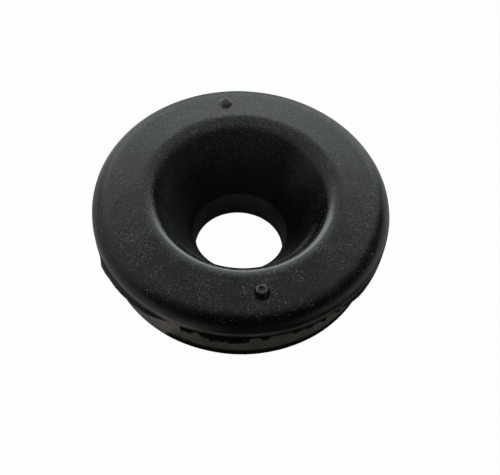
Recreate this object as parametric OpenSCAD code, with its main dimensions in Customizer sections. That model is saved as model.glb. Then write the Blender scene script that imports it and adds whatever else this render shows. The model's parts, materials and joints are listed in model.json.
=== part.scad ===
// Rubber ring: a grommet moulded in one piece. Its upper and lower flanges hold the edge of a sheet panel in
// the groove between them, and its funnel mouth leads a locating pin down into the straight bore.
// Millimetres, +Z up along the bore, origin on the axis at the underside.

/* [Upper flange] */
// Outer diameter of the upper flange
flange_d = 40; // [36:0.5:60]
// Thickness of the upper flange, from its underside to the crest of the lip
flange_t = 5.1; // [3.6:0.1:8]
// Round on the top outer edge
flange_top_round = 2.8; // [0.5:0.1:2.9]
// Round on the lower outer edge
flange_low_round = 1.1; // [0.2:0.1:1.4]
// Angle at which the top falls away from the lip towards the outer edge
crown_angle = 11; // [0:0.5:14]

/* [Panel groove] */
// Diameter at the root of the groove, which is the hole in the panel
groove_d = 30; // [24:0.5:35]
// Width of the groove, which is the thickness of the panel
groove_w = 2; // [0.8:0.1:4]

/* [Lower flange] */
// Outer diameter of the lower flange
lower_d = 36; // [31:0.5:44]
// Thickness of the lower flange
lower_t = 5.4; // [4:0.1:9]
// Round on the lower flange's bottom edge
lower_round = 1.4; // [0.2:0.1:2.5]
// Round on the lower flange's edge at the groove
lower_top_round = 0.4; // [0.1:0.1:1.5]

/* [Bore and funnel] */
// Diameter of the straight bore
bore_d = 12; // [8:0.5:15]
// Length of the straight bore, up from the underside
bore_l = 2.3; // [1:0.1:4]
// Round from the bore over into the funnel
throat_round = 3; // [0.5:0.1:4]
// Diameter of the funnel's mouth, across the crest of its lip
mouth_d = 26.5; // [20:0.5:30]
// Round of the lip, from the top over into the funnel
lip_round = 2.3; // [0.8:0.1:3.5]

/* [Moulding pips] */
// Distance from the flange's outer wall in to the middle of each pip
pip_inset = 4.1; // [3:0.1:6]
// Height of a pip above the flange
pip_h = 0.7; // [0.3:0.1:2]
// Diameter of a pip at its foot
pip_foot_d = 2; // [1.6:0.1:3]
// Diameter of a pip at its tip
pip_tip_d = 1.5; // [0.9:0.1:1.6]
// Diameter of the dimple in the tip
pip_dimple_d = 0.8; // [0.3:0.1:0.8]
// Depth of the dimple
pip_dimple_h = 0.2; // [0.1:0.05:0.3]

/* [Hidden] */

rubber_black = "#242627";
// Largest turn between two points of an arc, in degrees
arc_step = 4;
// Sides of the round pips
pip_fn = 32;
// How far a pip's foot reaches down into the flange
pip_sink = 0.5;

flange_r = flange_d / 2;
lower_r = lower_d / 2;
groove_r = groove_d / 2;
bore_r = bore_d / 2;
lip_r = mouth_d / 2;

flange_z = lower_t + groove_w;
height = flange_z + flange_t;
lip_z = height - lip_round;

// Radial and upward part of the direction that the crowned top faces
crown = [sin(crown_angle), cos(crown_angle)];
// Distance of the top's sloping line from the origin, along the direction that it faces
crown_reach = [lip_r, lip_z] * crown + lip_round;
// Height of the flange's wall, from its underside to where the sloping top would meet it
wall_h = (crown_reach - flange_r * crown.x) / crown.y - flange_z;
// Length of wall and of top that a round of radius 1 takes up at the top outer edge
round_run = tan((90 - crown_angle) / 2);
// A round is never larger than the flange's wall and rim leave room for
low_round = min(flange_low_round, wall_h / 3);
top_round = min(flange_top_round, (wall_h - low_round) / round_run, (flange_r - lip_r) / round_run);
edge_r = flange_r - top_round;
edge_z = (crown_reach - top_round - edge_r * crown.x) / crown.y;

// Slope of the funnel: a straight line that just touches the throat's round and the lip's round
throat = [bore_r + throat_round, bore_l];
to_lip = [lip_r, lip_z] - throat;
funnel_angle = atan2(to_lip.y, to_lip.x) + asin((lip_round - throat_round) / norm(to_lip));

pip_r = flange_r - pip_inset;

// Points of an arc about a centre, from one angle to another
function arc(centre, r, from, to) =
    let (steps = max(1, ceil(abs(to - from) / arc_step)))
    [for (i = [0:steps]) let (a = from + (to - from) * i / steps) centre + r * [cos(a), sin(a)]];

// Height of the ring's top at a radius: the lip's round, the sloping top or the outer round
function top_z(r) =
    r < lip_r + lip_round * crown.x ? lip_z + sqrt(pow(lip_round, 2) - pow(r - lip_r, 2)) :
    r > edge_r + top_round * crown.x ? edge_z + sqrt(pow(top_round, 2) - pow(r - edge_r, 2)) :
    (crown_reach - r * crown.x) / crown.y;

// Half of the ring's section, from the foot of the bore round the outside and back down the funnel
module ring_section() {
    polygon(concat(
        [[bore_r, 0]],
        arc([lower_r - lower_round, lower_round], lower_round, -90, 0),
        arc([lower_r - lower_top_round, lower_t - lower_top_round], lower_top_round, 0, 90),
        [[groove_r, lower_t], [groove_r, flange_z]],
        arc([flange_r - low_round, flange_z + low_round], low_round, -90, 0),
        arc([edge_r, edge_z], top_round, 0, 90 - crown_angle),
        arc([lip_r, lip_z], lip_round, 90 - crown_angle, 90 + funnel_angle),
        arc(throat, throat_round, 90 + funnel_angle, 180)
    ));
}

// Stub that the mould leaves on the top: a tapered pip with a dimple in its tip
module pip() {
    rotate_extrude($fn = pip_fn)
        polygon([
            [0, -pip_sink],
            [pip_foot_d / 2, -pip_sink],
            [pip_foot_d / 2, 0],
            [pip_tip_d / 2, pip_h],
            [pip_dimple_d / 2, pip_h],
            [0, pip_h - pip_dimple_h]
        ]);
}

module rubber_ring() {
    color(rubber_black) {
        rotate_extrude($fn = 180)
            ring_section();
        for (side = [-1, 1])
            translate([0, side * pip_r, top_z(pip_r)])
                pip();
    }
}

rubber_ring();
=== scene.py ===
# %% [markdown]
# # A moulded rubber ring
# This lesson dresses one small part: a black rubber grommet of 40 mm with a funnel mouth. The packed
# model is the fixed frame, so it is loaded first, and every length below is either read from it or named
# in millimetres. Nothing of the frame is moved.

# %% Load the frame
import json
import math

import bmesh
import bpy
from mathutils import Matrix, Vector, noise


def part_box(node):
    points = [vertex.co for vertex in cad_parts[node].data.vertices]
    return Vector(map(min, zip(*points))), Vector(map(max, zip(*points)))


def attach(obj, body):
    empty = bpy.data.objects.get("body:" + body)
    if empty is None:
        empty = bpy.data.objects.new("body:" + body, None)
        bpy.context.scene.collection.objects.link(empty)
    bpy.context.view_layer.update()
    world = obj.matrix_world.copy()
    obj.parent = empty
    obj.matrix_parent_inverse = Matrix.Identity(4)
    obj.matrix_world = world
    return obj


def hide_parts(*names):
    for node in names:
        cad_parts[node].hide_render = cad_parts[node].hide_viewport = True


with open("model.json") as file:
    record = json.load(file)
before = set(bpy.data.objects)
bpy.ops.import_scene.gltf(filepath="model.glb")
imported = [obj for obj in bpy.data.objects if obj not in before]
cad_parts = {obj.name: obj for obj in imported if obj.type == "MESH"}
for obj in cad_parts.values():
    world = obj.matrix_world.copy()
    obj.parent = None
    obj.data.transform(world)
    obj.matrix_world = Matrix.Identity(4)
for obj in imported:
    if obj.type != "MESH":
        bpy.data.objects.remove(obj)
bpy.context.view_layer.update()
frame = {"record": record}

# %% [markdown]
# ## Sizes
# The record's mounts give the bore and the groove, and the node's box gives the outer diameter. What is
# left are the sizes that only the section needs: thicknesses, rounds and the slope of the top. They are
# written once here, in millimetres, so that a change in one place moves everything that follows from it.

# %% Sizes of the section
MM = 0.001
mounts = {mount["name"]: mount for mount in frame["record"]["mounts"]}
groove = mounts["panel_groove"]
FLANGE_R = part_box("rubber_ring")[1].x / MM
BORE_R = mounts["pin_bore"]["dims"]["r_mm"]
BORE_L = mounts["pin_bore"]["dims"]["length_mm"]
GROOVE_R = groove["dims"]["r_mm"]
GROOVE_W = groove["dims"]["length_mm"]
GROOVE_LOW = groove["pos_m"][2] / MM - GROOVE_W / 2
FLANGE_LOW = GROOVE_LOW + GROOVE_W

FLANGE_T = 5.1
FLANGE_TOP_ROUND = 2.8
FLANGE_LOW_ROUND = 1.1
CROWN = math.radians(11)
LOWER_R = 18
LOWER_ROUND = 1.4
LOWER_TOP_ROUND = 0.4
GROOVE_ROUND = 0.2
FOOT_ROUND = 0.15
LIP_R = 13.25
LIP_ROUND = 2.3
THROAT_ROUND = 3
LIP_Z = FLANGE_LOW + FLANGE_T - LIP_ROUND
print("flange", FLANGE_R, "bore", BORE_R, "groove", GROOVE_R, "from", GROOVE_LOW, "to", FLANGE_LOW, "mm")

# %% [markdown]
# ## Camera
# The photograph looks down on the ring from about 55 degrees, from a quarter of a metre away, and the
# ring stands a little turned: one pip lies towards the viewer, slightly to the right. The camera could be
# aimed with a constraint, but a matrix from three directions, right, up and back, also takes the small
# roll. The last bit of framing is the lens shift.

# %% Camera
CAMERA_AZIMUTH = math.radians(-102.0)
CAMERA_ELEVATION = math.radians(54.6)
CAMERA_DISTANCE = 248
CAMERA_ROLL = math.radians(3.3)
CAMERA_LENS = 128.85
CAMERA_SENSOR = 36
CAMERA_SHIFT = (0.0225, 0.0208)
CAMERA_NEAREST = 10


def direction(azimuth, elevation):
    """The unit vector that points at an azimuth from +X and an elevation above the floor."""
    flat = math.cos(elevation)
    return Vector((flat * math.cos(azimuth), flat * math.sin(azimuth), math.sin(elevation)))


def facing(back, roll=0):
    """The turn of a camera or a lamp whose back points along a direction."""
    right = Vector((0, 0, 1)).cross(back).normalized()
    turn = Matrix((right, back.cross(right), back)).transposed()
    return turn @ Matrix.Rotation(roll, 3, "Z")


back = direction(CAMERA_AZIMUTH, CAMERA_ELEVATION)
camera = bpy.data.objects.new("camera", bpy.data.cameras.new("camera"))
camera.data.sensor_width = CAMERA_SENSOR
camera.data.sensor_fit = "HORIZONTAL"
camera.data.lens = CAMERA_LENS
camera.data.shift_x, camera.data.shift_y = CAMERA_SHIFT
camera.data.clip_start = CAMERA_NEAREST * MM
camera.matrix_world = Matrix.Translation(back * CAMERA_DISTANCE * MM) @ facing(back, CAMERA_ROLL).to_4x4()
bpy.context.scene.collection.objects.link(camera)
bpy.context.scene.camera = camera
bpy.context.scene.view_settings.view_transform = "Standard"
print("camera at", [round(x, 4) for x in camera.location])

# %% [markdown]
# ## Shader maths
# A material is a small graph of nodes. Linking nodes by hand hides the sums that they make, so one class
# wraps an output socket: adding or multiplying two wrapped sockets makes the Math node, and `node` makes
# any other kind. The materials below then read like formulas.

# %% A wrapper for sockets
class Wire:
    """One output socket of a shader tree. Arithmetic on wires adds Math nodes to the tree."""

    def __init__(self, tree, socket=None):
        self.tree = tree
        self.socket = socket

    def node(self, kind, settings=None, inputs=None, output=0):
        """Adds a node with values or wires for its inputs. Returns a wire to one of its outputs."""
        made = self.tree.nodes.new("ShaderNode" + kind)
        for name, value in (settings or {}).items():
            setattr(made, name, value)
        for name, value in (inputs or {}).items():
            if isinstance(value, Wire):
                self.tree.links.new(value.socket, made.inputs[name])
            else:
                made.inputs[name].default_value = value
        return Wire(self.tree, made.outputs[output])

    def beside(self, output):
        """A wire to another output of the same node."""
        return Wire(self.tree, self.socket.node.outputs[output])

    def math(self, operation, *values):
        return self.node("Math", {"operation": operation}, dict(enumerate(values)))

    def __add__(self, other):
        return self.math("ADD", self, other)

    def __sub__(self, other):
        return self.math("SUBTRACT", self, other)

    def __rsub__(self, other):
        return self.math("SUBTRACT", other, self)

    def __mul__(self, other):
        return self.math("MULTIPLY", self, other)

    def __truediv__(self, other):
        return self.math("DIVIDE", self, other)

    __radd__ = __add__
    __rmul__ = __mul__

    def rise(self, low, high):
        """0 below low, 1 above high and a straight ramp between them. With low above high it falls."""
        ramp = (self - low) / (high - low)
        return ramp.node("Clamp", inputs={"Value": ramp})

    def band(self, low, high, soft):
        """1 from low to high, and 0 further than a soft edge outside them."""
        return self.rise(low - soft, low) * self.rise(high + soft, high)

    def mix(self, first, second):
        """A colour between two others, with this wire as the share of the second."""
        # The Mix node has sockets for every kind of value: 6 and 7 take its two colours, and 2 gives one
        sockets = {0: self, 6: first, 7: second}
        return self.node("Mix", {"data_type": "RGBA"}, sockets, output=2)


def length(along, across):
    """The length of the long side over two sides that stand square to each other."""
    return along.math("SQRT", along * along + across * across)


def largest(first, *others):
    """The largest of some wires."""
    for other in others:
        first = first.math("MAXIMUM", first, other)
    return first


def grey(level):
    return (level, level, level, 1)


# %% [markdown]
# ## Floor
# The photograph's background is pure white, with no edge of a floor and hardly a shadow. A pale floor
# under strong lamps would be white too, but it would light the black ring from below. So the floor glows
# white only where Light Path says that the camera looks at it, straight or through glass. A small share
# of plain diffuse grey is left for the ring's shadow, which hardly shows. No bright floor is mirrored in
# the photograph's rubber, so mirrors get only a trace of the white.

# %% Floor
FLOOR_SIZE = 4
FLOOR_GLOW = 0.985
MIRROR_SHARE = 0.01
FLOOR_GREY = 0.12
# The floor lies a hair under the ring, in millimetres, so that the two faces don't fall together
FLOOR_DROP = 0.05


def floor_white():
    material = bpy.data.materials.new("floor_white")
    material.use_nodes = True
    tree = material.node_tree
    tree.nodes.clear()
    start = Wire(tree)
    camera_ray = start.node("LightPath")
    mirror_ray = camera_ray.beside("Is Glossy Ray")
    glass_ray = camera_ray.beside("Is Transmission Ray")
    share = FLOOR_GLOW * largest(camera_ray, glass_ray) + MIRROR_SHARE * mirror_ray
    plain = start.node("BsdfDiffuse", inputs={"Color": grey(FLOOR_GREY)})
    glow = start.node("Emission", inputs={"Color": grey(1), "Strength": 1})
    shader = start.node("MixShader", inputs={0: share, 1: plain, 2: glow})
    end = tree.nodes.new("ShaderNodeOutputMaterial")
    tree.links.new(shader.socket, end.inputs["Surface"])
    return material


bpy.ops.object.select_all(action="DESELECT")
bpy.ops.mesh.primitive_plane_add(size=FLOOR_SIZE, location=(0, 0, -FLOOR_DROP * MM))
floor = bpy.context.object
floor.name = "floor"
floor.data.materials.append(floor_white())
print("the floor is", FLOOR_SIZE, "m wide")

# %% [markdown]
# ## Light
# A black matte thing shows its form by what it mirrors. Here broad lights stand behind the ring, from
# just above the floor up to overhead, each weaker than the one below it, and almost nothing comes from
# behind the viewer: the far top shines, the near shoulder is black. Area lamps do that, with a warm one
# at the left and a dim world for the rest. Three glowing cards lie on the floor, behind the ring and at
# both sides of it, as sheets of white paper would, and give its rim a light edge there.

# %% Lamps
BEHIND = CAMERA_AZIMUTH + math.pi
LAMP_DISTANCE = 0.8


def soft_light(name, azimuth, elevation, size, brightness, colour):
    """An area lamp that faces the ring. Azimuth is from the far side, and brightness is its face's."""
    lamp = bpy.data.objects.new(name, bpy.data.lights.new(name, "AREA"))
    lamp.data.shape = "RECTANGLE"
    lamp.data.size, lamp.data.size_y = size
    lamp.data.energy = brightness * math.pi * size[0] * size[1]
    lamp.data.color = colour
    back = direction(BEHIND + math.radians(azimuth), math.radians(elevation))
    lamp.matrix_world = Matrix.Translation(back * LAMP_DISTANCE) @ facing(back).to_4x4()
    bpy.context.scene.collection.objects.link(lamp)
    print(name, "shines with", round(lamp.data.energy, 2), "W")


soft_light("back_light", 3, 19, size=(1.5, 0.46), brightness=1.85, colour=(0.88, 0.96, 1))
soft_light("high_light", 0, 49, size=(1.3, 0.42), brightness=0.8, colour=(0.93, 0.99, 1))
soft_light("top_light", 0, 92, size=(1.3, 0.75), brightness=0.38, colour=(0.94, 1, 0.95))
soft_light("left_light", 82, 28, size=(0.9, 0.7), brightness=0.6, colour=(1, 0.94, 0.88))

# %% Cards
CARD_SIZE = 0.2
CARD_DISTANCE = 0.126


def white_card(name, azimuth, brightness, colour):
    """A glowing card that lies on the floor near the ring, facing up. Azimuth is from the far side."""
    card = bpy.data.objects.new(name, bpy.data.lights.new(name, "AREA"))
    card.data.size = CARD_SIZE
    card.data.energy = brightness * math.pi * CARD_SIZE * CARD_SIZE
    card.data.color = colour
    card.location = direction(BEHIND + math.radians(azimuth), 0) * CARD_DISTANCE + Vector((0, 0, MM))
    card.rotation_euler = (math.pi, 0, 0)
    card.visible_camera = False
    bpy.context.scene.collection.objects.link(card)
    print(name, "shines with", round(card.data.energy, 3), "W")


white_card("back_card", 0, brightness=0.4, colour=(0.93, 0.98, 1))
white_card("left_card", 75, brightness=0.33, colour=(1, 0.94, 0.88))
white_card("right_card", -80, brightness=0.44, colour=(1, 1, 0.96))

# %% World
WORLD_LEVEL = 0.02

world = bpy.data.worlds.new("dim_room")
bpy.context.scene.world = world
world.use_nodes = True
background = world.node_tree.nodes["Background"]
camera_ray = Wire(world.node_tree).node("LightPath")
level = camera_ray + (1 - camera_ray) * WORLD_LEVEL
world.node_tree.links.new(level.socket, background.inputs["Strength"])
background.inputs["Color"].default_value = grey(1)
print("the world's own level is", WORLD_LEVEL)

# %% [markdown]
# ## Black rubber
# Moulded rubber is nearly black, with a soft sheen, a fine grain from the mould and broad faint patches
# where it has been handled. A painted picture could carry all of that, but noise on Object coordinates
# has no seams and holds its scale in millimetres. Each mark in the next cells is a mask: a wire that is
# high where the mark is and 0 elsewhere. All masks start from the same few measures of a point on the
# surface.

# %% Measures of a point on the rubber
PIP_INSET = 4.1
PIP_R = FLANGE_R - PIP_INSET
# Where the photograph shows the pips: the near one a little further in, the far one out and to the side
NEAR_PIP_R = PIP_R - 0.25
FAR_PIP = (0.4, PIP_R + 0.15)
# Where the near side and the right side begin and where they are full, along y and x
NEAR_SIDE = (10, -12)
RIGHT_SIDE = (-14, -2)
# How far up a face looks that counts as the top, from not at all to fully; 1 is straight up
LOOKS_UP = (0.5, 0.8)


class Surface:
    """What the masks know of a point on the rubber. Lengths are in millimetres."""

    def __init__(self, tree):
        self.start = Wire(tree)
        in_metres = self.start.node("TexCoord", output="Object")
        to_mm = {0: in_metres, "Scale": 1 / MM}
        self.place = self.start.node("VectorMath", {"operation": "SCALE"}, to_mm)
        self.x, self.y, self.z = self.parts(self.place)
        self.upward = self.parts(self.start.node("NewGeometry", output="Normal"))[2]
        self.radius = length(self.x, self.y)
        self.from_near_pip = length(self.x, self.y + NEAR_PIP_R)
        self.from_far_pip = length(self.x - FAR_PIP[0], self.y - FAR_PIP[1])
        self.near_side = self.y.rise(*NEAR_SIDE)
        self.to_right = self.x.rise(*RIGHT_SIDE)
        self.on_top = self.upward.rise(*LOOKS_UP)
        self.handled = self.cloud(per_mm=0.22).rise(0.35, 0.65)
        self.patches = self.cloud(per_mm=0.35, detail=3).rise(0.42, 0.62)
        self.fine = self.cloud(per_mm=5).rise(0.52, 0.70)

    def parts(self, vector):
        """The x, y and z of a vector, or the red, green and blue of a colour."""
        split = self.start.node("SeparateXYZ", inputs={0: vector})
        return [split.beside(axis) for axis in "XYZ"]

    def cloud(self, per_mm, detail=2):
        """Soft noise with so many blots in a millimetre."""
        return self.start.node("TexNoise", inputs={"Vector": self.place, "Scale": per_mm, "Detail": detail})


# %% [markdown]
# ## Loose dust
# Pale specks lie on what faces up, thickest in patches on the near side and round the near pip, and a
# bent fibre of lint lies among them. Particles would be real geometry, but thousands of them cost more
# than they show. A Voronoi texture gives each of its cells one round speck, and the cell's random colour
# decides whether the speck is there.

# %% Specks and lint
DUST_WHITE = (0.40, 0.41, 0.39, 1)
# Cells in a millimetre, size of a speck in millimetres and strength, for coarse, middle and fine dust
SPECKS = [(1.1, 0.22, 1), (2.9, 0.14, 1), (5.5, 0.11, 0.7)]
# Share of the cells with a speck: on all of the top, in patches, in patches of the near side, on the slope
TOP_DUST = 0.09
PATCH_DUST = 0.14
NEAR_DUST = 0.36
SLOPE_DUST = 0.25
# Radii of the funnel's slope where dust has caught
SLOPE_R = (10, 11)
# Distances from the near pip's middle: where the dust round it begins and where it is full, where it has
# drifted up most, and the part of the pip's tip that holds some
PIP_HALO = (3.2, 1)
PIP_DRIFT = (1.2, 1.8)
TIP_RING = (0.6, 0.85)
HALO_DUST = 0.45
DRIFT_DUST = 0.4
# Ends of the three straight pieces of a fibre of lint on the top, as (x, y) in millimetres
LINT = [(-2.39, -14.44), (-2.10, -14.94), (-2.25, -15.15), (-2.14, -15.68)]
LINT_WIDTH = 0.08


def dustiness(at):
    """Share of the cells that hold a speck."""
    by_pip = HALO_DUST * at.from_near_pip.rise(*PIP_HALO)
    by_pip = by_pip + DRIFT_DUST * at.from_near_pip.band(*PIP_DRIFT, soft=0.4)
    in_patches = at.patches * (PATCH_DUST + NEAR_DUST * at.near_side)
    on_slope = at.radius.band(*SLOPE_R, soft=1.5) * at.near_side
    return at.on_top * (TOP_DUST + in_patches + by_pip) + SLOPE_DUST * on_slope


def specks(at, dusty, per_mm, size):
    """Round specks of one size, in a share of the cells."""
    cells = at.start.node("TexVoronoi", inputs={"Vector": at.place, "Scale": per_mm})
    chance = at.parts(cells.beside("Color"))[0]
    reach = size / 2 * per_mm
    return cells.rise(reach, reach / 2) * (dusty - chance).rise(0, 0.05)


def fibre(at, one, two):
    """A thin straight line on the top between two points."""
    run = Vector(two) - Vector(one)
    way = run.normalized()
    x, y = at.x - one[0], at.y - one[1]
    along = (x * way.x + y * way.y).rise(0, run.length) * run.length
    away = length(x - along * way.x, y - along * way.y)
    return at.on_top * away.rise(LINT_WIDTH / 2, LINT_WIDTH / 4)


def pip_dust(at):
    """Dust on the ring round the near pip's dimple, most of it on the far half."""
    on_tip = at.on_top * at.from_near_pip.band(*TIP_RING, soft=0.1)
    far_half = (at.y + NEAR_PIP_R).rise(-0.4, 0.4)
    return on_tip * at.cloud(per_mm=9).rise(0.4, 0.6) * (0.15 + 0.4 * far_half)


def loose_dust(at):
    dusty = dustiness(at)
    marks = [strength * specks(at, dusty, per_mm, size) for per_mm, size, strength in SPECKS]
    marks += [fibre(at, one, two) for one, two in zip(LINT, LINT[1:])]
    return largest(*marks, pip_dust(at))


# %% [markdown]
# ## Dust that clings, and painted reflections
# Fine powder greys the top, and pale dust has settled in the funnel. The front of the lower flange's wall
# is painted brown, partly for a thin layer of dust and partly as a painted reflection of the white floor,
# and the bore's wall carries a painted reflection of the floor in the hole. The dust lies in thin layers
# with no height to speak of, so nothing is modelled: each mark is a band of radius or height, broken up by
# noise, that changes the colour.

# %% Powder, wall dust with painted reflection, dust in the funnel and painted reflection in the bore
POWDER_GREY = (0.110, 0.116, 0.107, 1)
# Brown of the wall's dust and of a painted reflection of the floor. The wall gets very little of this
# light, so this colour is written much paler than it renders
BROWN_DUST_AND_REFLECTION = (0.690, 0.650, 0.550, 1)
# Heights of the lower flange's wall that the brown dust and painted reflection cover
WALL_DUST_AND_REFLECTION_Z = (LOWER_ROUND + 0.9, GROOVE_LOW - 0.2)
# Where the brown dust and painted reflection begin to thicken and where they are full, towards the front
# along y and the right along x
WALL_DUST_AND_REFLECTION_FRONT = (-3, -9)
WALL_DUST_AND_REFLECTION_RIGHT = (4, 12)
# Where dust on the funnel's far wall begins and where it is full, by radius, height, y and x
FAR_WALL_R = (13.2, 12)
FAR_WALL_Z = (5, 11)
FAR_WALL_Y = (2, 10)
FAR_WALL_X = (13, 4)
# Radii of the dust low in the funnel at the left, and where it begins and is full by x and y together
LOW_DUST_R = (7.5, 10.5)
LOW_DUST_LEFT = (3, -6)
# Radii of a thin line of dust under the near lip, and where it begins and is full by y
LIP_DUST_R = (10.0, 10.4)
LIP_DUST_Y = (-4, -7)
# Radius and height up to which the bore's wall carries a painted reflection of the floor in the hole
BORE_REFLECTION_R = 9
BORE_REFLECTION_Z = 4


def powder(at):
    """Fine pale powder on faces that look nearly straight up."""
    return at.fine * (0.45 + 0.5 * at.patches) * at.upward.rise(0.8, 0.95)


def wall_dust_and_reflection(at):
    """Brown dust and a painted reflection of the floor on the lower flange's wall, thicker in front and to
    the right.
    """
    on_wall = at.radius.rise(LOWER_R - 0.8, LOWER_R - 0.2) * at.z.band(*WALL_DUST_AND_REFLECTION_Z, soft=0.4)
    in_front = 0.15 + 0.85 * at.y.rise(*WALL_DUST_AND_REFLECTION_FRONT)
    uneven = 0.6 + 0.4 * at.cloud(per_mm=0.5, detail=4).rise(0.2, 0.7)
    sideways = 0.06 + 0.94 * at.to_right + 0.4 * at.x.rise(*WALL_DUST_AND_REFLECTION_RIGHT)
    return on_wall * in_front * uneven * sideways


def funnel_dust_and_bore_reflection(at):
    """Pale dust on the funnel's far wall, low at its left and in a line under the near lip; painted
    reflection in the bore.
    """
    far_wall = at.radius.rise(*FAR_WALL_R) * at.z.rise(*FAR_WALL_Z)
    far_wall = far_wall * at.y.rise(*FAR_WALL_Y) * at.x.rise(*FAR_WALL_X)
    low_left = at.radius.band(*LOW_DUST_R, soft=1.2) * (at.x + at.y).rise(*LOW_DUST_LEFT)
    under_lip = at.radius.band(*LIP_DUST_R, soft=0.4) * at.y.rise(*LIP_DUST_Y)
    # A painted reflection of the floor in the hole, on the bore's wall
    bore_reflection = at.radius.rise(BORE_REFLECTION_R, BORE_REFLECTION_R - 0.5) * at.z.rise(BORE_REFLECTION_Z, BORE_REFLECTION_Z - 0.25)
    dust = (0.08 + 0.3 * at.fine) * far_wall + (0.07 + 0.08 * at.fine) * low_left
    dust = dust + (0.05 + 0.5 * at.cloud(per_mm=7, detail=3).rise(0.46, 0.66)) * under_lip
    return dust + (0.07 + 0.1 * at.handled) * bore_reflection


# %% [markdown]
# ## Painted light on the rim and the pips, and the lip
# A painted highlight draws a pale line round the near side of the upper flange, where the mould's seam
# runs.
# The underside of that rim in front, in painted shade and with the torn flash on it, and the near pip's
# side, in painted shade, are the blackest places. Painted light lifts the far pip's side, and the near lip
# shines as if it had been rubbed, which a clear coat shows. The marks could be separate materials on their
# own faces, but then each would end at a hard edge. As masks they are placed by the sizes of the section
# and fade out.

# %% Painted highlight on the rim, painted shade, painted light on the far pip, and the lip
# Pale grey of the funnel's dust, and of painted light: the highlight on the rim, the reflection in the bore
# and the far pip's lit side
PALE_DUST_AND_PAINTED_LIGHT = (0.405, 0.420, 0.370, 1)
# Black of painted shade under the rim in front and on the near pip's side, and of the torn flash
SHADE_AND_TEAR_BLACK = (0.0010, 0.0010, 0.0008, 1)
# Heights of the painted highlight along the seam's line
RIM_HIGHLIGHT_Z = (8.7, 8.9)
# Height below which the flange's underside is painted black, as painted shade and for the torn flash on it,
# and where that begins and is full by y
SHADED_TORN_Z = 7.9
SHADED_TORN_Y = (-13, -15)
# Distances from each pip's middle where the painted shade on the near pip's side and the painted light on
# the far pip's side begin and where they are full
NEAR_PIP_SHADE = (1.3, 1.1)
FAR_PIP_LIGHT = (1.4, 1.0)
# Radii of the shiny line inside the lip, and where it begins and is full by y
RUBBED_R = (LIP_R - 1.3, LIP_R - 0.85)
RUBBED_Y = (0, -6)


def rim_highlight(at):
    """A painted highlight: a pale line round the near side of the upper flange, fainter at the left."""
    on_rim = at.radius.rise(FLANGE_R - 0.5, FLANGE_R - 0.3) * at.near_side
    line = on_rim * at.z.band(*RIM_HIGHLIGHT_Z, soft=0.3)
    return line * (0.35 + 0.4 * at.handled) * (0.3 + 0.7 * at.to_right)


def shaded_torn_edge(at):
    """Painted shade on the underside of the upper flange's rim in front, and the black of the torn flash on
    it.
    """
    on_rim = at.radius.rise(FLANGE_R - 0.9, FLANGE_R - 0.7)
    return on_rim * at.z.rise(SHADED_TORN_Z + 0.05, SHADED_TORN_Z - 0.05) * at.y.rise(*SHADED_TORN_Y)


# Painted shade on the near pip's side
def near_pip_shade(at):
    return at.from_near_pip.rise(*NEAR_PIP_SHADE) * at.upward.rise(0.7, 0.4)


# Painted light that lifts the far pip's side out of its shade
def far_pip_light(at):
    return at.from_far_pip.rise(*FAR_PIP_LIGHT) * at.upward.rise(0.97, 0.8)


def rubbed_lip(at):
    return at.radius.band(*RUBBED_R, soft=0.2) * at.y.rise(*RUBBED_Y)


# %% [markdown]
# ## The finished rubber
# The colours are laid over each other like coats of paint: rubber, powder, the wall's brown dust with its
# painted reflection, pale dust with painted highlight, reflection and light, the black of painted shade and
# tears, and the loose specks last. Where there is dust the sheen is duller. Grain and specks also go into a
# Bump node, because they are far too small to be modelled.

# %% Rubber
RUBBER_BLACK = (0.0042, 0.0052, 0.0040, 1)
RUBBER_GREY = (0.0075, 0.0088, 0.0072, 1)
RUBBER_IOR = 1.5
RUBBER_ROUGHNESS = 0.21
COAT_ROUGHNESS = 0.12
BUMP_STRENGTH = 0.8
BUMP_HEIGHT = 0.06


def rubber():
    material = bpy.data.materials.new("black_rubber")
    material.use_nodes = True
    tree = material.node_tree
    at = Surface(tree)
    speck = loose_dust(at)
    # Brown dust on the wall, and a painted reflection of the floor there
    brown_dust_and_reflection = wall_dust_and_reflection(at)
    rubbed = rubbed_lip(at)
    # Pale dust, with painted highlight, painted reflection and painted light
    pale = rim_highlight(at) + funnel_dust_and_bore_reflection(at) + 0.3 * far_pip_light(at)
    # Painted shade, and the torn flash's black
    black = largest(shaded_torn_edge(at), near_pip_shade(at))
    grain = at.cloud(per_mm=6.5, detail=3)
    skin = at.cloud(per_mm=1.1)

    colour = at.handled.mix(RUBBER_BLACK, RUBBER_GREY)
    layers = [(powder(at), POWDER_GREY), (brown_dust_and_reflection, BROWN_DUST_AND_REFLECTION), (pale, PALE_DUST_AND_PAINTED_LIGHT), (black, SHADE_AND_TEAR_BLACK)]
    for mask, layer in layers + [(0.85 * speck, DUST_WHITE)]:
        colour = mask.mix(colour, layer)
    roughness = RUBBER_ROUGHNESS + 0.08 * at.handled + 0.05 * skin - 0.06 * rubbed
    roughness = roughness + 0.3 * speck + 0.1 * brown_dust_and_reflection
    height = 0.8 * grain + 0.6 * skin + 0.5 * speck
    relief = {"Strength": BUMP_STRENGTH, "Distance": BUMP_HEIGHT * MM, "Height": height}
    bump = at.start.node("Bump", inputs=relief)

    shader = tree.nodes["Principled BSDF"]
    shader.inputs["IOR"].default_value = RUBBER_IOR
    shader.inputs["Coat Roughness"].default_value = COAT_ROUGHNESS
    wires = {"Base Color": colour, "Roughness": roughness, "Coat Weight": rubbed, "Normal": bump}
    for name, wire in wires.items():
        tree.links.new(wire.socket, shader.inputs[name])
    return material


rubber_finish = rubber()
print("black rubber has", len(rubber_finish.node_tree.nodes), "nodes")

# %% [markdown]
# ## Turning a section
# The ring is a body of revolution, so its form is one line: half of its section. On the bench it would be
# turned on a lathe, and Spin is Blender's lathe. The line is drawn by extruding one point from corner to
# corner, each corner is rounded with a vertex bevel, long stretches are divided, and the line is spun.

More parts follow.
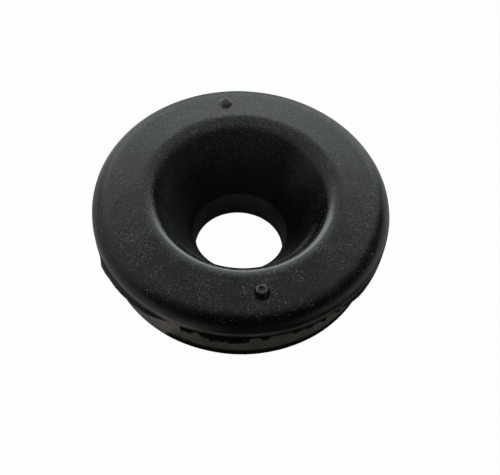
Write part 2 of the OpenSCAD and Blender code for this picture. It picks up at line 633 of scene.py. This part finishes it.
# %% Helpers to draw a section
# Points nearer to each other than this, in metres, are the same point
TOUCHING = 0.001 * MM
# Largest turn between two points of a round
ARC_STEP = math.radians(5)


def select_only(piece, wanted):
    """Selects the vertices, in edit mode, that a test picks."""
    bpy.ops.mesh.select_all(action="DESELECT")
    mesh = bmesh.from_edit_mesh(piece.data)
    for vertex in mesh.verts:
        vertex.select_set(wanted(vertex))
    mesh.select_flush(True)
    bmesh.update_edit_mesh(piece.data)


def drawn(name, corners):
    """A wire through corners, given as (radius, height, round) in millimetres, left in edit mode."""
    points = [Vector((r, 0, z)) * MM for r, z, _ in corners]
    bpy.ops.object.select_all(action="DESELECT")
    bpy.ops.mesh.primitive_plane_add(size=MM)
    piece = bpy.context.object
    piece.name = name
    bpy.ops.object.mode_set(mode="EDIT")
    bpy.ops.mesh.select_mode(type="VERT")
    bpy.ops.mesh.merge(type="CENTER")
    bpy.ops.transform.translate(value=points[0])
    for here, there in zip(points, points[1:]):
        bpy.ops.mesh.extrude_vertices_move(TRANSFORM_OT_translate={"value": there - here})
    bpy.ops.mesh.select_all(action="SELECT")
    bpy.ops.mesh.remove_doubles(threshold=TOUCHING)
    return piece


def round_corner(piece, before, corner, after):
    """Rounds one corner of a wire to its radius with a vertex bevel."""
    point, one, two = (Vector((c[0], 0, c[1])) * MM for c in (corner, before, after))
    turn = math.pi - (one - point).angle(two - point)
    select_only(piece, lambda vertex: (vertex.co - point).length < TOUCHING)
    reach = corner[2] * MM * math.tan(turn / 2)
    segments = max(2, math.ceil(turn / ARC_STEP))
    bpy.ops.mesh.bevel(affect="VERTICES", offset=reach, segments=segments, profile=0.5)


def divide_long_edges(piece, longest):
    """Cuts every edge of a wire that is longer than a length into equal parts."""
    mesh = bmesh.from_edit_mesh(piece.data)
    ends = [[v.co.copy() for v in edge.verts] for edge in mesh.edges if edge.calc_length() > longest]
    for one, two in ends:
        select_only(piece, lambda vertex: any((vertex.co - end).length < TOUCHING for end in (one, two)))
        bpy.ops.mesh.subdivide(number_cuts=math.ceil((one - two).length / longest) - 1)


# %% Helpers to spin it
# Faces that meet at less than this angle are shaded as one smooth surface
SMOOTH_ANGLE = math.radians(35)


def spun(piece, steps):
    """Spins a wire once round Z, closes the join where it meets itself and turns the faces outward."""
    bpy.ops.mesh.select_all(action="SELECT")
    bpy.ops.mesh.spin(steps=steps, angle=2 * math.pi, center=(0, 0, 0), axis=(0, 0, 1))
    bpy.ops.mesh.select_all(action="SELECT")
    bpy.ops.mesh.remove_doubles(threshold=2 * TOUCHING)
    bpy.ops.mesh.normals_make_consistent(inside=False)
    bpy.ops.object.mode_set(mode="OBJECT")
    bpy.ops.object.shade_smooth_by_angle(angle=SMOOTH_ANGLE)


def turned(name, corners, steps, longest):
    """A piece turned from a section whose corners are (radius, height, round)."""
    piece = drawn(name, corners)
    closed = corners[0][:2] == corners[-1][:2]
    loop = corners[:-1] if closed else corners
    for i, corner in enumerate(loop):
        if corner[2] > 0:
            round_corner(piece, loop[i - 1], corner, loop[(i + 1) % len(loop)])
    divide_long_edges(piece, longest * MM)
    spun(piece, steps)
    print(name, "has", len(piece.data.vertices), "vertices and", len(piece.data.polygons), "faces")
    return piece


# %% [markdown]
# ## The ring
# The section runs from the foot of the bore round the outside and back down the funnel. Three of its
# corners lie off the body: where the sloping top would meet the outer wall, where it would meet the
# funnel, and where the funnel would meet the bore. They are found as crossings of straight lines, and the
# rounds then cut them back to the shoulder, the lip and the throat.

# %% Corners of the ring's section
def crossing(normal_a, reach_a, normal_b, reach_b):
    """Where two lines meet, each given by the direction that it faces and its distance along it."""
    area = normal_a.x * normal_b.y - normal_a.y * normal_b.x
    r = (reach_a * normal_b.y - reach_b * normal_a.y) / area
    z = (normal_a.x * reach_b - normal_b.x * reach_a) / area
    return r, z


lip = Vector((LIP_R, LIP_Z))
throat = Vector((BORE_R + THROAT_ROUND, BORE_L))
to_lip = lip - throat
FUNNEL = math.atan2(to_lip.y, to_lip.x) + math.asin((LIP_ROUND - THROAT_ROUND) / to_lip.length)
top_faces = Vector((math.sin(CROWN), math.cos(CROWN)))
top_reach = lip.dot(top_faces) + LIP_ROUND
funnel_faces = Vector((-math.sin(FUNNEL), math.cos(FUNNEL)))
funnel_reach = lip.dot(funnel_faces) + LIP_ROUND
outward = Vector((1, 0))

shoulder = crossing(outward, FLANGE_R, top_faces, top_reach)
lip_corner = crossing(top_faces, top_reach, funnel_faces, funnel_reach)
throat_corner = crossing(outward, BORE_R, funnel_faces, funnel_reach)
bore_foot = (BORE_R, 0, FOOT_ROUND)
ring_corners = [
    bore_foot,
    (LOWER_R, 0, LOWER_ROUND),
    (LOWER_R, GROOVE_LOW, LOWER_TOP_ROUND),
    (GROOVE_R, GROOVE_LOW, GROOVE_ROUND),
    (GROOVE_R, FLANGE_LOW, GROOVE_ROUND),
    (FLANGE_R, FLANGE_LOW, FLANGE_LOW_ROUND),
    (*shoulder, FLANGE_TOP_ROUND),
    (*lip_corner, LIP_ROUND),
    (*throat_corner, THROAT_ROUND),
    bore_foot,
]
print("funnel rises at", round(math.degrees(FUNNEL), 1), "degrees")

# %% Spin the ring
RING_STEPS = 360
RING_EDGE = 0.4
ring = turned("moulded_ring", ring_corners, RING_STEPS, RING_EDGE)

# %% [markdown]
# ## Moulding pips
# Two short stubs stand opposite each other on the top, left by the mould. The near one is tapered, with a
# dimple in its tip, and the far one is lower and softer, with none. A tapered cylinder would do for the
# form, but a section turned like the ring's also gives the flared foot, with which a pip grows out of the
# top, and the dimple. The pips are then moved to their places in the mesh.

# %% Sections of the pips
# Heights are from the ring's top. A pip is sunk into it, and the flare of its foot starts just below it
PIP_SINK = 0.4
PIP_FLARE = 0.12
FLARE_LOW = -0.05

# Near pip, with radii. The waist is the radius and height at which the flare has run out
PIP_H = 0.8
PIP_FOOT = 2.1 / 2
PIP_WAIST = (PIP_FOOT - 0.03, 0.1)
PIP_TIP = 1.5 / 2
PIP_DIMPLE = 0.8 / 2
PIP_DIMPLE_H = 0.2
PIP_NUB = 0.2

# Far pip
FAR_H = 0.42
FAR_FOOT = 0.95
FAR_WAIST = (FAR_FOOT - 0.1, 0.08)
FAR_TIP = 0.55


def sunk_foot(foot):
    """The first corners of a pip's section, below and just at the top of the ring."""
    flare = foot + PIP_FLARE
    return [(0, -PIP_SINK, 0), (flare, -PIP_SINK, 0), (flare, FLARE_LOW, 0)]


pip_corners = sunk_foot(PIP_FOOT) + [
    (*PIP_WAIST, 0.2),
    (PIP_TIP, PIP_H, 0.15),
    (PIP_DIMPLE, PIP_H, 0.1),
    (PIP_NUB, PIP_H - PIP_DIMPLE_H, 0.08),
    (0, PIP_H - PIP_DIMPLE_H / 2, 0),
]
far_corners = sunk_foot(FAR_FOOT) + [
    (*FAR_WAIST, 0.3),
    (FAR_TIP, FAR_H, 0.3),
    (0, FAR_H, 0),
]
print("the near pip is", PIP_H, "mm high, the far one", FAR_H, "mm")

# %% Spin the pips and put them in place
PIP_STEPS = 48
PIP_EDGE = 0.12

near_pip = turned("near_pip", pip_corners, PIP_STEPS, PIP_EDGE)
far_pip = turned("far_pip", far_corners, PIP_STEPS, PIP_EDGE)
pip_z = (top_reach - PIP_R * top_faces.x) / top_faces.y
for pip, place in ((near_pip, (0, -NEAR_PIP_R)), (far_pip, FAR_PIP)):
    pip.data.transform(Matrix.Translation(Vector((*place, pip_z)) * MM))

# %% [markdown]
# ## Unevenness of the moulding
# No rubber moulding is a perfect turning: the faces are slightly wavy, and light shows it. Sculpting
# could do that by hand. A Displace modifier with a soft cloud moves the skin by a few hundredths of a
# millimetre all over, and is applied so that the mesh keeps it. The pips are joined to the ring after
# that, as they are.

# %% Displace the ring and join the pips
WAVE_LENGTH = 5
WAVE_HEIGHT = 0.06

clouds = bpy.data.textures.new("moulding_waves", "CLOUDS")
clouds.noise_scale = WAVE_LENGTH * MM
bpy.ops.object.select_all(action="DESELECT")
bpy.context.view_layer.objects.active = ring
ring.select_set(True)
bpy.ops.object.modifier_add(type="DISPLACE")
waves = ring.modifiers[-1]
waves.texture = clouds
waves.texture_coords = "LOCAL"
waves.strength = WAVE_HEIGHT * MM
bpy.ops.object.modifier_apply(modifier=waves.name)

for pip in (near_pip, far_pip):
    pip.select_set(True)
bpy.ops.object.join()
ring.data.materials.clear()
ring.data.materials.append(rubber_finish)
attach(ring, "root")
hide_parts("rubber_ring")
print("ring with pips:", sum(len(face.vertices) - 2 for face in ring.data.polygons), "triangles")

# %% [markdown]
# ## Torn flash
# Where two parts of the mould met, under the upper flange, a thin fin of rubber squeezed out and was torn
# off. What is left droops over the gap as a dark fringe: ragged patches in front, and a wide smooth
# stretch at the left and at the right. It is a circle extruded outward. Each point of the fringe gets its
# own width, from a list of widths by azimuth and from noise for the tear, and Solidify gives it the
# thickness of a skin.

# %% Widths of the fringe
# Azimuth in degrees from +X, and the width that was left there in millimetres
FLASH_LEFT = [
    (-186, 0), (-178, 0.15), (-168, 0.3), (-164.5, 0.85), (-162.5, 0.9), (-158, 0.8), (-150, 0.8),
    (-142, 0.8), (-136, 0.65), (-128, 0.05), (-123, 0), (-122, 0.45), (-118, 0.45), (-117, 0.1),
    (-115.5, 0.1), (-114.5, 0.6), (-108, 0.85), (-101, 0.8), (-96.5, 0.6), (-95.5, 0.1), (-92, 0.1),
    (-91.5, 0.4), (-89, 0.4), (-88, 0.08), (-80, 0.08), (-79, 0.4), (-76.5, 0.35), (-75, 0.15),
    (-74.5, 0.15), (-73.5, 0.4), (-72, 0.35), (-70.5, 0.08), (-68, 0.08), (-67.3, 0.35), (-65.7, 0.35),
    (-65, 0), (-61, 0), (-60.3, 0.3), (-58.7, 0.3), (-58, 0), (-55, 0.3), (-48, 0.5), (-42, 0.42),
    (-36, 0.3), (-28, 0.18), (-20, 0.06), (-14, 0),
]
# Between these azimuths, in front, the fin was torn; further round its edge has a share of the raggedness
FLASH_TORN = (-128, -56)
EVEN_SHARE = 0.2
# Length of the tear's long and short waves in millimetres, and the share of the width that each takes
TEAR_WAVES = [(1.1, 0.3), (0.4, 0.25)]


def flash_width(azimuth):
    """Width of the fringe at an azimuth in degrees, between the listed points."""
    for (start, width), (end, next_width) in zip(FLASH_LEFT, FLASH_LEFT[1:]):
        if start <= azimuth <= end:
            return width + (next_width - width) * (azimuth - start) / (end - start)
    return 0


def torn_width(azimuth, place):
    """Width with the ragged edge of the tear."""
    ragged = 1 if FLASH_TORN[0] < azimuth < FLASH_TORN[1] else EVEN_SHARE
    tear = sum(share * noise.noise(place / (wave * MM)) for wave, share in TEAR_WAVES)
    return flash_width(azimuth) * (1 + ragged * tear)


print("widest fringe:", max(width for _, width in FLASH_LEFT), "mm")

# %% Extrude the fringe's rows
FLASH_STEPS = 1800
FLASH_ROWS = 4
FLASH_ROOT_ANGLE = math.radians(-38)

flash_root = Vector((FLANGE_R - FLANGE_LOW_ROUND, FLANGE_LOW + FLANGE_LOW_ROUND))
flash_root += FLANGE_LOW_ROUND * Vector((math.cos(FLASH_ROOT_ANGLE), math.sin(FLASH_ROOT_ANGLE)))
bpy.ops.object.select_all(action="DESELECT")
bpy.ops.mesh.primitive_circle_add(vertices=FLASH_STEPS, radius=flash_root.x * MM)
flash = bpy.context.object
flash.name = "torn_flash"
bpy.ops.object.mode_set(mode="EDIT")
bpy.ops.transform.translate(value=(0, 0, flash_root.y * MM))
for row in range(FLASH_ROWS):
    bpy.ops.mesh.extrude_edges_move()
print("the fringe starts at radius", round(flash_root.x, 2), "and height", round(flash_root.y, 2), "mm")

# %% Draw each point out to its width
# Where the fringe would be narrower than this, nothing was left
LEAST_WIDTH = 0.03
# How far the fringe droops at its root and at its edge
FLASH_DROOP = (math.radians(35), math.radians(55))

bare = set()
mesh = bmesh.from_edit_mesh(flash.data)
for index, vertex in enumerate(mesh.verts):
    azimuth = math.degrees(math.atan2(vertex.co.y, vertex.co.x))
    if azimuth > FLASH_LEFT[-1][0]:
        azimuth -= 360
    width = torn_width(azimuth, vertex.co)
    if width < LEAST_WIDTH:
        bare.add(index)
        continue
    along = (index // FLASH_STEPS) / FLASH_ROWS
    droop = FLASH_DROOP[0] + (FLASH_DROOP[1] - FLASH_DROOP[0]) * along
    reach = width * along * MM
    radial = Vector((vertex.co.x, vertex.co.y, 0)).normalized()
    vertex.co += radial * reach * math.cos(droop) - Vector((0, 0, reach * math.sin(droop)))
bmesh.update_edit_mesh(flash.data)
select_only(flash, lambda vertex: vertex.index in bare)
bpy.ops.mesh.delete(type="VERT")
print(len(bare), "points of the fringe were torn away")

# %% Give the fringe its thickness
FLASH_SKIN = 0.12
FLASH_SMOOTH_ANGLE = math.radians(50)

bpy.ops.mesh.select_all(action="SELECT")
bpy.ops.mesh.normals_make_consistent(inside=False)
bpy.ops.object.mode_set(mode="OBJECT")
bpy.ops.object.modifier_add(type="SOLIDIFY")
solidify = flash.modifiers[-1]
solidify.thickness = FLASH_SKIN * MM
solidify.offset = 0
bpy.ops.object.modifier_apply(modifier=solidify.name)
bpy.ops.object.shade_smooth_by_angle(angle=FLASH_SMOOTH_ANGLE)
flash.data.materials.append(rubber_finish)
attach(flash, "root")
print("torn flash:", len(flash.data.polygons), "faces")
